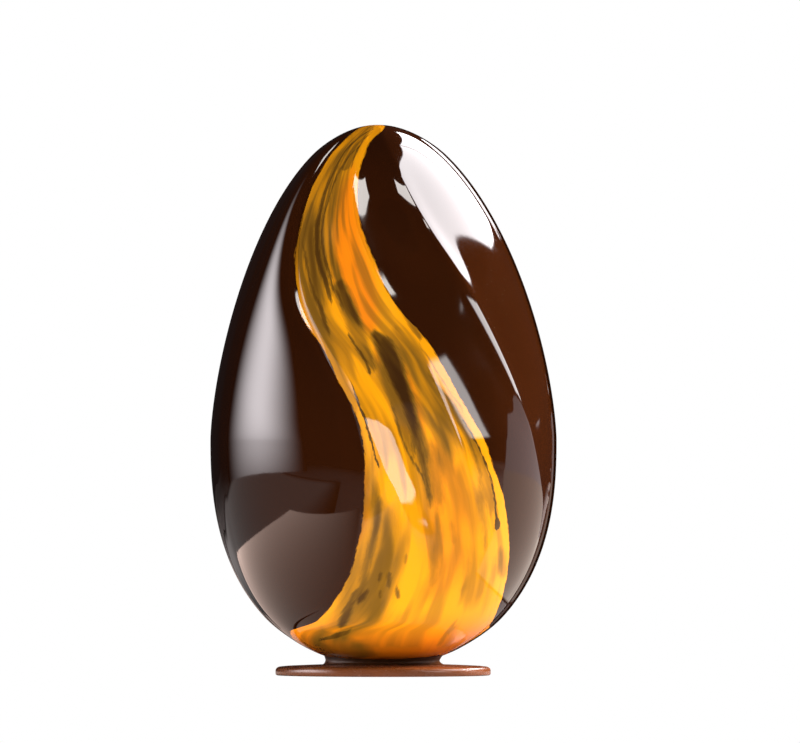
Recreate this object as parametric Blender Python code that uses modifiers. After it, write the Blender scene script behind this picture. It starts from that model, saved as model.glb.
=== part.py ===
"""A decorated chocolate egg: two sculpted half shells, joined upright on a poured chocolate disc."""

import math

import bmesh
import bpy
from mathutils import Matrix, Vector

# Driving dimensions, in metres. The decorated front faces -Y and the disc rests on Z = 0.
EGG_RADIUS = 0.0637
EGG_MIDDLE = 0.0874
EGG_TOP = 0.2046
EGG_TIP = 0.0035
TOP_FULLNESS = 1.54
TOP_BLUNTNESS = 0.508
BOTTOM_FULLNESS = 2.43
BOTTOM_BLUNTNESS = 0.479
TIP_LEAN = 0.0020
LEAN_POWER = 2.4
HALF_MISMATCH = 0.0004
GAP = 0.0003

DISC_RADIUS = 0.0400
DISC_RIM_HEIGHT = 0.0032
DISC_CROWN_HEIGHT = 0.0044
DISC_EDGE_ROUND = 0.0018
DISC_FOOT_CHAMFER = 0.0003

FOOT_HALF_WIDTH = 0.0225
FOOT_HALF_DEPTH = 0.0190
FOOT_INNER = 0.82
FOOT_WAIST = 0.0009

# The joint line stands proud of the egg as a narrow lip on each half.
LIP_WIDTH = 0.0018
LIP_HEIGHT = 0.0006
LIP_SHARE_AT_TIP = 0.25
LIP_FADE = (0.010, 0.022)
RIM_STEP = 0.0006

# Lines of the sculpted relief: height on the egg in metres, bearing in degrees from the front.
LEFT_EDGE = ((0.004, -63), (0.060, -60), (0.115, -62), (0.165, -58), (0.190, -62), (EGG_TOP, -66))
VALLEY = (
    (0.004, -58), (0.017, -50), (0.027, -17), (0.040, -6), (0.070, 0), (0.098, -4),
    (0.120, -16), (0.145, -33), (0.170, -42), (0.190, -46), (EGG_TOP, -52),
)  # fmt: skip
SWELL = (
    (0.004, -40), (0.030, 14), (0.045, 19), (0.060, 14), (0.068, 11), (0.076, 7.3), (0.0845, 4.3), (0.092, 1.5),
    (0.109, -5), (0.125, -16), (0.145, -29), (0.170, -38), (0.190, -43), (EGG_TOP, -50),
)  # fmt: skip
MIDDLE_RIDGE = (
    (0.004, 44), (0.035, 47), (0.062, 40), (0.092, 30), (0.129, 16),
    (0.150, 3.5), (0.170, -7), (0.190, -11.5), (EGG_TOP, -6),
)  # fmt: skip
RIGHT_RIDGE = (
    (0.004, 70), (0.030, 80), (0.060, 79), (0.083, 68), (0.112, 56), (0.146, 41), (0.174, 26), (EGG_TOP, 15),
)  # fmt: skip

# How far each line stands out of the egg, or sinks below it, in metres against height.
VALLEY_RELIEF = (
    (0.004, 0), (0.030, 0), (0.050, -0.0006), (0.075, -0.0014), (0.100, -0.0018),
    (0.140, -0.0022), (0.175, -0.0016), (0.197, -0.0006), (EGG_TOP, 0),
)  # fmt: skip
SWELL_RELIEF = (
    (0.004, 0), (0.030, 0), (0.050, 0.0004), (0.075, 0.0008), (0.100, 0.0006),
    (0.120, 0), (0.140, -0.0002), (0.175, 0), (EGG_TOP, 0),
)  # fmt: skip
FACE_RELIEF = (
    (0.004, 0), (0.038, 0), (0.050, 0.0020), (0.060, 0.0039), (0.076, 0.0043), (0.092, 0.0044), (0.103, 0.0026),
    (0.120, 0.0014), (0.140, 0.0014), (0.160, 0.0014), (0.180, 0.0009), (0.195, 0.0003), (EGG_TOP, 0),
)  # fmt: skip
MIDDLE_RELIEF = (
    (0.004, 0), (0.022, 0), (0.060, 0.0008), (0.100, 0.0012), (0.130, 0.0009),
    (0.150, 0.0006), (0.175, 0.0005), (EGG_TOP, 0),
)  # fmt: skip
RIGHT_RELIEF = ((0.004, 0), (0.030, 0), (0.070, 0.0006), (0.120, 0.0010), (0.170, 0.0008), (EGG_TOP, 0))
LOBE_RELIEF = ((0.004, 0), (0.014, 0), (0.050, 0.0014), (0.110, 0.0012), (0.170, 0.0006), (EGG_TOP, 0))
TROUGH_RELIEF = (
    (0.004, 0), (0.105, 0), (0.125, 0.0004), (0.140, 0.0014),
    (0.158, 0.0024), (0.172, 0.0022), (0.190, 0.0010), (EGG_TOP, 0),
)  # fmt: skip
PANEL_RELIEF = ((0.004, 0), (0.045, 0), (0.100, 0.0008), (0.160, 0.0010), (EGG_TOP, 0))

# Depth of the dished flank against the share of the way across it.
HOLLOW = ((0, 0), (0.1, 0.36), (0.2, 0.70), (0.3, 0.95), (0.4, 1.0), (0.55, 0.88), (0.75, 0.5), (1, 0))

# Columns of faces in each band between two lines, and rows from the flat underside to the tip.
BAND_COLUMNS = (2, 3, 8, 3, 8, 8, 6, 2)
ROWS = 48
DISC_STEPS = 56
FOOT_STEPS = 40

DARK_CHOCOLATE = (0.020, 0.0065, 0.0035, 1.0)
MILK_CHOCOLATE = (0.105, 0.036, 0.016, 1.0)


def through(points, place):
    """Value at a place on the smooth curve through (place, value) points."""
    if place <= points[0][0]:
        return points[0][1]
    if place >= points[-1][0]:
        return points[-1][1]
    last = next(i for i in range(1, len(points)) if place <= points[i][0])
    (x0, y0), (x1, y1) = points[last - 1], points[last]
    before = points[max(last - 2, 0)]
    after = points[min(last + 1, len(points) - 1)]
    span = x1 - x0
    slope0 = (y1 - before[1]) / (x1 - before[0]) * span
    slope1 = (after[1] - y0) / (after[0] - x0) * span
    t = (place - x0) / span
    return (
        y0 * (2 * t**3 - 3 * t**2 + 1)
        + slope0 * (t**3 - 2 * t**2 + t)
        + y1 * (3 * t**2 - 2 * t**3)
        + slope1 * (t**3 - t**2)
    )


def smooth_step(low, high, value):
    """Rises from 0 at low to 1 at high with level ends."""
    t = min(1.0, max(0.0, (value - low) / (high - low)))
    return t * t * (3 - 2 * t)


def meridian(angle):
    """Radius and height of the plain egg, from its widest level at 0 to its tip at 90 degrees."""
    rise = abs(math.sin(angle))
    reach = max(0.0, math.cos(angle))
    if angle >= 0:
        height = EGG_MIDDLE + (EGG_TOP - EGG_MIDDLE) * rise ** (2 / TOP_FULLNESS)
        return EGG_RADIUS * reach ** (2 * TOP_BLUNTNESS), height
    height = EGG_MIDDLE - (EGG_MIDDLE - EGG_TIP) * rise ** (2 / BOTTOM_FULLNESS)
    return EGG_RADIUS * reach ** (2 * BOTTOM_BLUNTNESS), height


def underside(radius):
    """Height of the plain egg's underside at a radius."""
    reach = (radius / EGG_RADIUS) ** (0.5 / BOTTOM_BLUNTNESS)
    rise = math.sqrt(1 - reach * reach)
    return EGG_MIDDLE - (EGG_MIDDLE - EGG_TIP) * rise ** (2 / BOTTOM_FULLNESS)


def disc_top(radius):
    """Height of the disc's domed top at a radius."""
    return DISC_CROWN_HEIGHT - (DISC_CROWN_HEIGHT - DISC_RIM_HEIGHT) * (radius / DISC_RADIUS) ** 2


def flat_angle():
    """Angle on the meridian where the underside was melted flat to stand on the disc."""
    rise = (EGG_MIDDLE - DISC_CROWN_HEIGHT - GAP) / (EGG_MIDDLE - EGG_TIP)
    return -math.asin(rise ** (BOTTOM_FULLNESS / 2))


def dip(t):
    """Rounded hollow that is deepest a third of the way across and lies flat at its far side."""
    return 6.75 * t * (1 - t) ** 2


def relief(height, radius, band, t):
    """Bearing in degrees and stand-off in metres at a share t of the way across a band."""
    lip_angle = math.degrees(math.asin(min(LIP_WIDTH / max(radius, 1e-6), LIP_SHARE_AT_TIP)))
    lines = (
        -90.0,
        lip_angle - 90.0,
        through(LEFT_EDGE, height),
        through(VALLEY, height),
        through(SWELL, height),
        through(MIDDLE_RIDGE, height),
        through(RIGHT_RIDGE, height),
        90.0 - lip_angle,
        90.0,
    )
    bearing = lines[band] + (lines[band + 1] - lines[band]) * t
    fade = smooth_step(*LIP_FADE, height) * smooth_step(*LIP_FADE, EGG_TOP - height + LIP_FADE[0])
    lip = LIP_HEIGHT * fade
    step = RIM_STEP * fade
    valley = through(VALLEY_RELIEF, height)
    swell = through(SWELL_RELIEF, height)
    middle = through(MIDDLE_RELIEF, height)
    right = through(RIGHT_RELIEF, height)
    stand_off = (
        lip * (1 + math.cos(math.pi * t)) / 2,
        step * smooth_step(0.6, 1.0, t),
        step + through(LOBE_RELIEF, height) * math.sin(math.pi * t) + (valley - step) * t**7,
        valley + (swell - valley) * t,
        swell + (middle - swell) * t - through(FACE_RELIEF, height) * through(HOLLOW, t),
        middle + (right - middle) * t - through(TROUGH_RELIEF, height) * dip(t),
        right * (1 - t) ** 1.5 - through(PANEL_RELIEF, height) * dip(t),
        lip * (1 - math.cos(math.pi * t)) / 2,
    )[band]
    return bearing, stand_off


def egg_point(angle, band, t, turn):
    """Point of a half shell's outer face. The turn sets the back half behind the front one."""
    radius, height = meridian(angle)
    bearing, stand_off = relief(height, radius, band, t)
    near_r, near_z = meridian(min(angle + 0.01, math.pi / 2))
    far_r, far_z = meridian(angle - 0.01)
    outward = Vector((near_z - far_z, far_r - near_r)).normalized()
    radius = max(0.0, radius + stand_off * outward.x)
    height = height + stand_off * outward.y
    sweep = math.radians(bearing)
    point = Vector((radius * math.sin(sweep), -radius * math.cos(sweep) - GAP / 2, height))
    point.rotate(Matrix.Rotation(turn, 3, "Z"))
    share = max(0.0, (height - EGG_MIDDLE) / (EGG_TOP - EGG_MIDDLE))
    mismatch = HALF_MISMATCH if turn else -HALF_MISMATCH
    point.x += mismatch - TIP_LEAN * share**LEAN_POWER
    return point


def chocolate(name, colour, roughness):
    """Glossy tempered chocolate of one colour."""
    material = bpy.data.materials.new(name)
    material.use_nodes = True
    shader = material.node_tree.nodes["Principled BSDF"]
    shader.inputs["Base Color"].default_value = colour
    shader.inputs["Roughness"].default_value = roughness
    shader.inputs["Metallic"].default_value = 0.0
    return material


def add_mesh(name, mesh_maker, collection, material):
    """An object named for its sub-part, with one mesh shaded smooth."""
    mesh = bpy.data.meshes.new(name)
    mesh_maker.to_mesh(mesh)
    mesh_maker.free()
    mesh.materials.append(material)
    mesh.shade_smooth()
    mesh.set_sharp_from_angle(angle=math.radians(35))
    piece = bpy.data.objects.new(name, mesh)
    collection.objects.link(piece)
    return piece


def add_half(name, turn, collection, material):
    """One half of the egg: a grid bent over the sculpted surface, closed by its flat faces."""
    places = [(band, step / count) for band, count in enumerate(BAND_COLUMNS) for step in range(count)]
    places.append((len(BAND_COLUMNS) - 1, 1.0))
    columns = len(places) - 1
    start = flat_angle()
    maker = bmesh.new()
    bmesh.ops.create_grid(maker, x_segments=columns, y_segments=ROWS, size=1.0)
    rim = {}
    underside_row = {}
    for vert in maker.verts:
        column = round((vert.co.x + 1) / 2 * columns)
        row = round((vert.co.y + 1) / 2 * ROWS)
        band, t = places[column]
        if column in (0, columns):
            rim[row if column == 0 else 2 * ROWS + 1 - row] = vert
        if row == 0:
            underside_row[column] = vert
        vert.co = egg_point(start + (math.pi / 2 - start) * row / ROWS, band, t, turn)
    maker.faces.new([rim[place] for place in sorted(rim)])
    maker.faces.new([underside_row[column] for column in sorted(underside_row)])
    bmesh.ops.remove_doubles(maker, verts=maker.verts, dist=1e-5)
    bmesh.ops.dissolve_degenerate(maker, edges=maker.edges, dist=1e-6)
    bmesh.ops.recalc_face_normals(maker, faces=maker.faces)
    return add_mesh(name, maker, collection, material)


def add_foot(name, collection, material):
    """Oval dab of melted chocolate with a waist, between the disc and the egg's underside."""
    side_places = (0.0, 0.15, 0.5, 0.85, 1.0)
    inward_places = (0.97, 0.94, 0.88, FOOT_INNER)
    maker = bmesh.new()
    rings = []
    for step in range(FOOT_STEPS):
        sweep = 2 * math.pi * step / FOOT_STEPS
        width, depth = FOOT_HALF_WIDTH * math.cos(sweep), FOOT_HALF_DEPTH * math.sin(sweep)
        outer = math.hypot(width, depth)
        low = disc_top(outer) + GAP
        high = underside(outer) - GAP
        section = []
        for place in side_places:
            waist = FOOT_WAIST * math.sin(math.pi * place)
            section.append((1 - waist / outer, low + (high - low) * place))
        for place in inward_places:
            section.append((place, underside(outer * place) - GAP))
        section.append((FOOT_INNER, disc_top(outer * FOOT_INNER) + GAP))
        rings.append([maker.verts.new((width * share, depth * share, z)) for share, z in section])
    for ring, following in zip(rings, rings[1:] + rings[:1]):
        for place in range(len(ring)):
            after = (place + 1) % len(ring)
            maker.faces.new((ring[place], following[place], following[after], ring[after]))
    bmesh.ops.recalc_face_normals(maker, faces=maker.faces)
    return add_mesh(name, maker, collection, material)


def add_disc(name, collection, material):
    """Poured disc: a domed top, a rounded edge and a flat underside."""
    edge_centre = DISC_RADIUS - DISC_EDGE_ROUND
    profile = [(edge_centre * share, disc_top(edge_centre * share)) for share in (0, 0.25, 0.5, 0.75, 1)]
    arc_centre = disc_top(edge_centre) - DISC_EDGE_ROUND
    for degrees in (60, 30, 0):
        turn = math.radians(degrees)
        reach = edge_centre + DISC_EDGE_ROUND * math.cos(turn)
        profile.append((reach, arc_centre + DISC_EDGE_ROUND * math.sin(turn)))
    profile.append((DISC_RADIUS, DISC_FOOT_CHAMFER))
    profile.append((DISC_RADIUS - DISC_FOOT_CHAMFER, 0.0))
    profile.append((0.0, 0.0))
    maker = bmesh.new()
    verts = [maker.verts.new((reach, 0.0, height)) for reach, height in profile]
    for start, end in zip(verts, verts[1:]):
        maker.edges.new((start, end))
    disc = add_mesh(name, maker, collection, material)
    screw = disc.modifiers.new("Turned", "SCREW")
    screw.steps = DISC_STEPS
    screw.render_steps = DISC_STEPS
    screw.use_merge_vertices = True
    screw.merge_threshold = 0.00001
    screw.use_smooth_shade = True
    return disc


def build():
    for old in list(bpy.data.objects):
        bpy.data.objects.remove(old, do_unlink=True)
    collection = bpy.data.collections.new("chocolate_egg")
    bpy.context.scene.collection.children.link(collection)
    dark = chocolate("dark_chocolate", DARK_CHOCOLATE, 0.12)
    milk = chocolate("milk_chocolate", MILK_CHOCOLATE, 0.25)
    add_half("egg_half_front", 0.0, collection, dark)
    add_half("egg_half_back", math.pi, collection, dark)
    add_foot("melted_foot", collection, dark)
    add_disc("base_disc", collection, milk)


build()
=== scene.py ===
"""A decorated chocolate egg: glossy tempered shells, a brushed cocoa butter stripe and a poured base."""

import math

import bmesh
import bpy
import numpy as np
from bpy.props import FloatProperty, FloatVectorProperty, PointerProperty
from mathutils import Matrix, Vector


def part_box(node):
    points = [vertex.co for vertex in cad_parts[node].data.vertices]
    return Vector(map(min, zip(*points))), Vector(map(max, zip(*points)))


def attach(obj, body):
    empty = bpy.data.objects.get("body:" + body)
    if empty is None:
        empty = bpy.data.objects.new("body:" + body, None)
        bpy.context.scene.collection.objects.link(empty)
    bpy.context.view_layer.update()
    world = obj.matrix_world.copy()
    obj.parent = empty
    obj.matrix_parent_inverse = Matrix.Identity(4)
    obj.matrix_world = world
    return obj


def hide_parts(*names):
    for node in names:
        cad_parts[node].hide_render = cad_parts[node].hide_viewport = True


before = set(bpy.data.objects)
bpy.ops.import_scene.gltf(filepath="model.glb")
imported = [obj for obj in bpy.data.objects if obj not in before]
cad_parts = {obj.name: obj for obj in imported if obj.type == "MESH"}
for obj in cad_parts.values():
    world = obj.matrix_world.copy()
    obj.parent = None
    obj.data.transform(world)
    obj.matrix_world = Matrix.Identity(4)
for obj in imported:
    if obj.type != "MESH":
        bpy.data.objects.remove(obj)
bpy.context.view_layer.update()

bl_info = {
    "name": "Chocolate Egg Studio",
    "version": (1, 0, 0),
    "blender": (4, 5, 0),
    "location": "3D View > Sidebar > Chocolate Egg",
    "description": "Makes a decorated chocolate egg on its poured base, with studio light",
    "category": "Add Mesh",
}

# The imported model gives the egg's reach, and the rest repeats its driving dimensions in metres.
FRONT_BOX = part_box("egg_half_front")
DISC_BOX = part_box("base_disc")
FOOT_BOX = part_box("melted_foot")
EGG_TOP = FRONT_BOX[1].z
EGG_FLAT = FRONT_BOX[0].z
EGG_MIDDLE = 0.0874
EGG_TIP = 0.0035
TOP_FULLNESS = 1.54
TOP_BLUNTNESS = 0.508
BOTTOM_FULLNESS = 2.43
BOTTOM_BLUNTNESS = 0.479
TIP_LEAN = 0.0020
LEAN_POWER = 2.4
HALF_MISMATCH = 0.0004
GAP = 0.0003
LIP_SHARE_AT_TIP = 0.25
LIP_FADE = (0.010, 0.022)

# Millimetres in a metre, the distance in metres at which points become one, and the turn in radians between
# a place and the two beside it that give the skin's direction there.
MM = 1000
WELD = 1e-6
SKIN_TURN = 0.01

# Ways across the bands: where the rim's step begins, and how late the lobe and the panel fall away.
STEP_START = 0.6
LOBE_FALL = 7
PANEL_FALL = 1.5

# Lines of the sculpted relief: height on the egg in metres, bearing in degrees from the front.
LEFT_EDGE = ((0.004, -63), (0.060, -60), (0.115, -62), (0.165, -58), (0.190, -62), (EGG_TOP, -66))
VALLEY = (
    (0.004, -58), (0.017, -50), (0.027, -17), (0.040, -6), (0.070, 0), (0.098, -4),
    (0.120, -16), (0.145, -33), (0.170, -42), (0.190, -46), (EGG_TOP, -52),
)
SWELL = (
    (0.004, -40), (0.030, 14), (0.045, 19), (0.060, 14), (0.068, 11), (0.076, 7.3), (0.0845, 4.3),
    (0.092, 1.5), (0.109, -5), (0.125, -16), (0.145, -29), (0.170, -38), (0.190, -43), (EGG_TOP, -50),
)
MIDDLE_RIDGE = (
    (0.004, 44), (0.035, 47), (0.062, 40), (0.092, 30), (0.129, 16),
    (0.150, 3.5), (0.170, -7), (0.190, -11.5), (EGG_TOP, -6),
)
RIGHT_RIDGE = (
    (0.004, 70), (0.030, 80), (0.060, 79), (0.083, 68), (0.112, 56), (0.146, 41), (0.174, 26), (EGG_TOP, 15),
)

# How far each line stands out of the egg, or sinks below it, in metres against height.
VALLEY_RELIEF = (
    (0.004, 0), (0.030, 0), (0.050, -0.0006), (0.075, -0.0014), (0.100, -0.0018),
    (0.140, -0.0022), (0.175, -0.0016), (0.197, -0.0006), (EGG_TOP, 0),
)
SWELL_RELIEF = (
    (0.004, 0), (0.030, 0), (0.050, 0.0004), (0.075, 0.0008), (0.100, 0.0006),
    (0.120, 0), (0.140, -0.0002), (0.175, 0), (EGG_TOP, 0),
)
FACE_RELIEF = (
    (0.004, 0), (0.038, 0), (0.050, 0.0020), (0.060, 0.0039), (0.076, 0.0043), (0.092, 0.0044),
    (0.103, 0.0026), (0.120, 0.0014), (0.140, 0.0014), (0.160, 0.0014), (0.180, 0.0009), (0.195, 0.0003),
    (EGG_TOP, 0),
)
MIDDLE_RELIEF = (
    (0.004, 0), (0.022, 0), (0.060, 0.0008), (0.100, 0.0012), (0.130, 0.0009),
    (0.150, 0.0006), (0.175, 0.0005), (EGG_TOP, 0),
)
RIGHT_RELIEF = ((0.004, 0), (0.030, 0), (0.070, 0.0006), (0.120, 0.0010), (0.170, 0.0008), (EGG_TOP, 0))
LOBE_RELIEF = ((0.004, 0), (0.014, 0), (0.050, 0.0014), (0.110, 0.0012), (0.170, 0.0006), (EGG_TOP, 0))
TROUGH_RELIEF = (
    (0.004, 0), (0.105, 0), (0.125, 0.0004), (0.140, 0.0014),
    (0.158, 0.0024), (0.172, 0.0022), (0.190, 0.0010), (EGG_TOP, 0),
)
PANEL_RELIEF = ((0.004, 0), (0.045, 0), (0.100, 0.0008), (0.160, 0.0010), (EGG_TOP, 0))

# Depth of the dished flank against the share of the way across it.
HOLLOW = ((0, 0), (0.1, 0.36), (0.2, 0.70), (0.3, 0.95), (0.4, 1.0), (0.55, 0.88), (0.75, 0.5), (1, 0))

# The narrow crest that rides on the right ridge, and how much wider it is on its front side.
CREST_FRONT_SPREAD = 1.8
CREST_RELIEF = (
    (0.004, 0), (0.085, 0), (0.100, 0.0003), (0.120, 0.0006), (0.140, 0.0008),
    (0.160, 0.0008), (0.180, 0.0004), (0.195, 0), (EGG_TOP, 0),
)
CREST_WIDTH = (
    (0.004, 0.0022), (0.095, 0.0022), (0.115, 0.0032), (0.145, 0.0048), (0.170, 0.0040), (EGG_TOP, 0.003),
)

# Marks that fingertips left along the right joint: each bump's height on the egg in metres and its share of
# the depth. Their reach is how far they lie from the joint, and how wide they are across it.
FINGER_MARKS = (
    (0.066, 0.8), (0.0715, 1.0), (0.078, 0.7), (0.0845, 1.0), (0.0895, 0.8), (0.0960, 1.0), (0.1030, 0.9),
    (0.1085, 0.7), (0.1145, 1.0), (0.1205, 0.8), (0.1270, 0.9),
)
FINGER_LENGTH = 0.0021
FINGER_REACH = (0.0042, 0.0017)

# Edges of the painted stripe: height on the egg in metres, bearing in degrees from the front.
PAINT_LEFT = (
    (0.0040, -110), (0.0165, -56), (0.0191, -36.3), (0.0209, -27.8), (0.0272, -16.2), (0.0369, -7.3),
    (0.0450, -4), (0.0580, -0.8), (0.0745, 0.2), (0.0867, -0.4), (0.0979, -3.3), (0.1090, -9.5),
    (0.1200, -15.3), (0.1328, -26.4), (0.1440, -32.2), (0.1550, -37.6), (0.1670, -40), (0.1867, -40.6),
    (0.1940, -40.8), (0.2020, -42), (EGG_TOP, -60),
)
PAINT_RIGHT = (
    (0.0040, 150), (0.0161, 96), (0.0232, 77), (0.0336, 66.4), (0.0492, 58), (0.0592, 53.6), (0.0674, 50.4),
    (0.0771, 45.7), (0.0864, 42.2), (0.0953, 37.3), (0.1061, 31.6), (0.1187, 25.7), (0.1272, 20.3),
    (0.1345, 13.8), (0.1432, 8.1), (0.1529, 3.8), (0.1622, -1.4), (0.1704, -5), (0.1867, -8), (0.1934, -6),
    (0.1992, 0), (0.2035, 26.8), (EGG_TOP, 60),
)

# The photo: its size and scale in pixels, its middle in metres, and how far it looks from the right.
PHOTO_SIZE = (800, 743)
PIXELS_PER_METRE = 2690
FRAME_CENTRE = (0.0062, 0.1129)
VIEW_TURN = math.radians(6)

# Strokes of thin dark paint on the stripe: strength, softness, then across, down and width of each point,
# all in pixels of the photo. An end without a width gets the tapered one, which is below nothing.
TAPERED_WIDTH = -1
STROKES = (
    ("upper dark line", 0.72, 2.4, (
        (373, 128), (366, 133, 1.2), (358, 139, 1.6), (344.5, 153, 2.2), (335, 171, 3), (325.5, 194, 3),
        (320.8, 213, 3.4), (317.4, 230, 5), (317.4, 246, 5), (320, 264, 5), (325.5, 280, 5),
        (330.3, 298, 3), (332, 306),
    )),
    ("upper thin line", 0.62, 1.8, (
        (362, 140), (350, 156, 1.2), (337.7, 176, 1.2), (329.6, 199, 1.2), (324.2, 218, 1.2),
        (322.2, 234, 1.6), (324.2, 254, 2.4), (329.6, 273, 3), (332.3, 286, 2.6), (334, 296),
    )),
    ("left dark line", 0.66, 2.6, (
        (303, 240), (305.3, 253, 1.2), (308.6, 272, 2.4), (314, 292, 3.6), (321.5, 310, 4.4),
        (326, 325, 3.6), (330, 336),
    )),
    ("upper left shade", 0.42, 10, (
        (312, 205), (309, 225, 8), (311, 250, 12), (317, 275, 13), (322, 295, 9), (324, 310),
    )),
    ("upper right shade", 0.42, 7, ((332, 238), (333, 255, 6), (338, 272, 10), (341, 284, 9), (343, 292))),
    ("tip shade", 0.38, 2.4, ((366, 133), (357, 146, 5), (350, 158, 8), (346, 168, 8), (344, 172))),
    ("tip right line", 0.6, 1, ((373, 129), (364, 140, 1), (357, 152, 1.2), (352, 166, 1.4), (351, 171))),
    ("loop shade", 0.62, 6, (
        (342, 279), (341, 284, 10), (344, 295, 18), (349, 308, 18), (353, 320, 16), (358, 334, 15),
        (364, 348, 13), (370, 362, 9), (374, 372),
    )),
    ("loop left line", 0.5, 2.2, ((337, 289), (339, 295, 2.4), (342, 306, 2), (344, 311))),
    ("loop right line", 0.62, 3.5, ((345, 290), (349, 299, 4), (353, 311, 5), (357, 321, 4), (359, 326))),
    ("arm line", 0.7, 2, (
        (349, 333), (352, 340, 2), (358, 349, 2.6), (363, 356, 3), (367, 363, 2.4), (369.6, 371, 3),
        (370, 375),
    )),
    ("great dark stroke", 0.9, 7, (
        (375, 330), (377, 334, 9), (382, 340, 17), (387, 350, 19), (391, 360, 19), (396, 374, 18),
        (402, 389, 15), (407, 402, 12), (412, 418, 9), (417, 436, 8), (421, 452, 6), (425, 470, 4),
        (428, 490, 3), (430, 505),
    )),
    ("great stroke shade", 0.42, 12, (
        (383, 345), (391, 372, 26), (399, 396, 24), (408, 420, 20), (418, 445, 18), (426, 470, 15),
        (434, 490, 12), (437, 505),
    )),
    ("middle thin line", 0.5, 2.4, (
        (391, 402), (393.3, 409, 2), (399.7, 430, 2.2), (404, 443, 2), (409.3, 454, 2), (418.8, 470, 2.4),
        (424, 482),
    )),
    ("middle olive band", 0.42, 10, (
        (431, 440), (435, 452, 8), (437, 468, 10), (439, 485, 9), (441, 500, 6), (442, 512),
    )),
    ("crack", 0.85, 0.9, (
        (351, 380), (353, 386, 1), (358.3, 401, 2.2), (362, 411, 2.6), (365.4, 418.5, 2.8),
        (368.6, 431, 2.2), (374.2, 450, 1.6), (377, 461, 2), (379.8, 469),
    )),
    ("low left streak", 0.55, 7, (
        (380, 496), (379.8, 503, 3), (378, 520, 6), (373, 540, 8), (367.5, 560, 8), (362.5, 580, 6.5),
        (357, 597, 5), (352, 606),
    )),
    ("low left blot", 0.7, 4, ((368, 586), (366, 590, 4), (362.5, 595, 6.5), (360, 600, 5), (358.5, 603))),
    ("low left drip", 0.75, 4.5, (
        (358, 586), (355, 591, 3), (349.5, 604, 6.5), (346, 613, 9), (343, 622, 8), (341, 627),
    )),
    ("low blot", 0.7, 4, (
        (352, 627), (349, 629, 4), (343, 631.5, 12), (336, 635, 14), (326, 638, 12), (320, 640),
    )),
    ("speck high", 0.55, 3, ((389.5, 570), (389.3, 573, 3.6), (389, 578, 4), (389, 584, 3.4), (389, 587))),
    ("speck right", 0.55, 3, ((397, 584), (396.5, 587, 3), (397, 591, 4), (398, 595, 3), (398, 598))),
    ("speck left", 0.55, 3, ((381, 570), (380.5, 573, 2.6), (379.5, 577, 3), (379, 580))),
    ("speck low", 0.55, 3, ((380.6, 588), (380.3, 591, 2.6), (380, 594, 2.6), (380, 597))),
    ("speck top", 0.3, 3, ((406, 552), (406, 555, 3), (405.5, 559, 3), (405, 563))),
    ("low middle streak", 0.34, 9, (
        (437.5, 508), (437, 517, 5), (437, 532, 7), (436.5, 548, 8), (435, 563, 6), (433, 577, 4),
        (432, 584),
    )),
    ("low middle short", 0.22, 6, ((451, 520), (451.5, 527, 4), (452.8, 537, 4), (453, 543))),
    ("low right short", 0.2, 7, ((468, 558), (467.5, 565, 5), (466, 574, 5), (464, 584, 5), (461, 592))),
    ("right olive streak", 0.4, 7, (
        (479, 478), (480, 490, 4), (482, 503, 7), (484, 520, 7), (484.8, 533, 5), (484.4, 543, 3),
        (484.4, 548),
    )),
    ("right brown line", 0.85, 1, (
        (459, 414), (463.5, 421.6, 1.2), (471, 434, 1.4), (479.4, 450, 1.6), (489, 474, 1.9),
        (493.8, 498, 2), (496, 516, 2.2), (496.8, 522, 5), (496, 526, 5), (495.6, 530),
    )),
    ("right olive line", 0.35, 3, (
        (428, 372), (432, 379, 1.2), (442, 392, 1.8), (452.3, 406, 2), (462, 424, 2.2), (471.4, 446, 2.2),
        (478, 466, 2.4), (481, 476),
    )),
    ("right far line", 0.35, 2.4, (
        (419, 342), (427, 356, 1.2), (440, 377, 1.4), (452, 396, 1.6), (462, 413),
    )),
    ("crest olive edge", 0.45, 2, (
        (362, 218), (364.5, 224, 2.5), (367.5, 236, 3.6), (372, 248, 3.5), (376, 256),
    )),
    ("border brown strip", 0.5, 4, (
        (388, 284), (393, 292, 3), (400, 305, 5), (408, 318, 6.5), (415, 331, 7), (420, 341),
    )),
    ("right olive patch", 0.36, 8, (
        (500, 546), (500.5, 553, 7), (501, 563, 9), (501.5, 571, 7), (502, 577),
    )),
    ("low dash", 0.42, 4, (
        (457, 617), (454.3, 621.8, 3.5), (449.5, 628.5, 5), (444, 635, 5), (439, 643, 4), (436.7, 647),
    )),
    ("edge panel shade", 0.3, 6, (
        (440, 382), (452, 404, 7), (463, 426, 10), (474, 450, 12), (483, 475, 13), (488, 498, 10),
        (490, 515),
    )),
    ("belly left shade", 0.25, 8, (
        (346, 395), (352, 410, 8), (358, 430, 12), (366, 455, 12), (372, 480, 10), (376, 500),
    )),
    ("great stroke core", 0.5, 4, (
        (384, 336), (390, 350, 10), (396, 368, 10), (402, 390, 7), (409, 412, 8), (413, 430, 6),
        (414, 448, 4), (413, 462),
    )),
    ("flank veil", 0.42, 14, (
        (396, 330), (404, 345, 10), (412, 362, 18), (422, 382, 22), (433, 404, 24), (442, 428, 18),
        (448, 446, 10), (452, 458),
    )),
    ("left veil", 0.44, 24, (
        (362, 470), (364, 490, 20), (370, 515, 44), (372, 545, 56), (370, 575, 60), (364, 605, 56),
        (350, 630, 36), (338, 642),
    )),
    ("upper left veil", 0.36, 14, (
        (352, 138), (336, 160, 12), (324, 185, 26), (318, 210, 40), (315, 240, 46), (314, 270, 36),
        (312, 295, 22), (318, 320, 16), (328, 345, 14), (340, 370, 12), (350, 394, 8), (356, 410),
    )),
    ("under left shade", 0.4, 16, (
        (322, 626), (328, 634, 30), (334, 641, 50), (342, 648, 56), (350, 654, 50), (352, 658),
    )),
)

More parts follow.
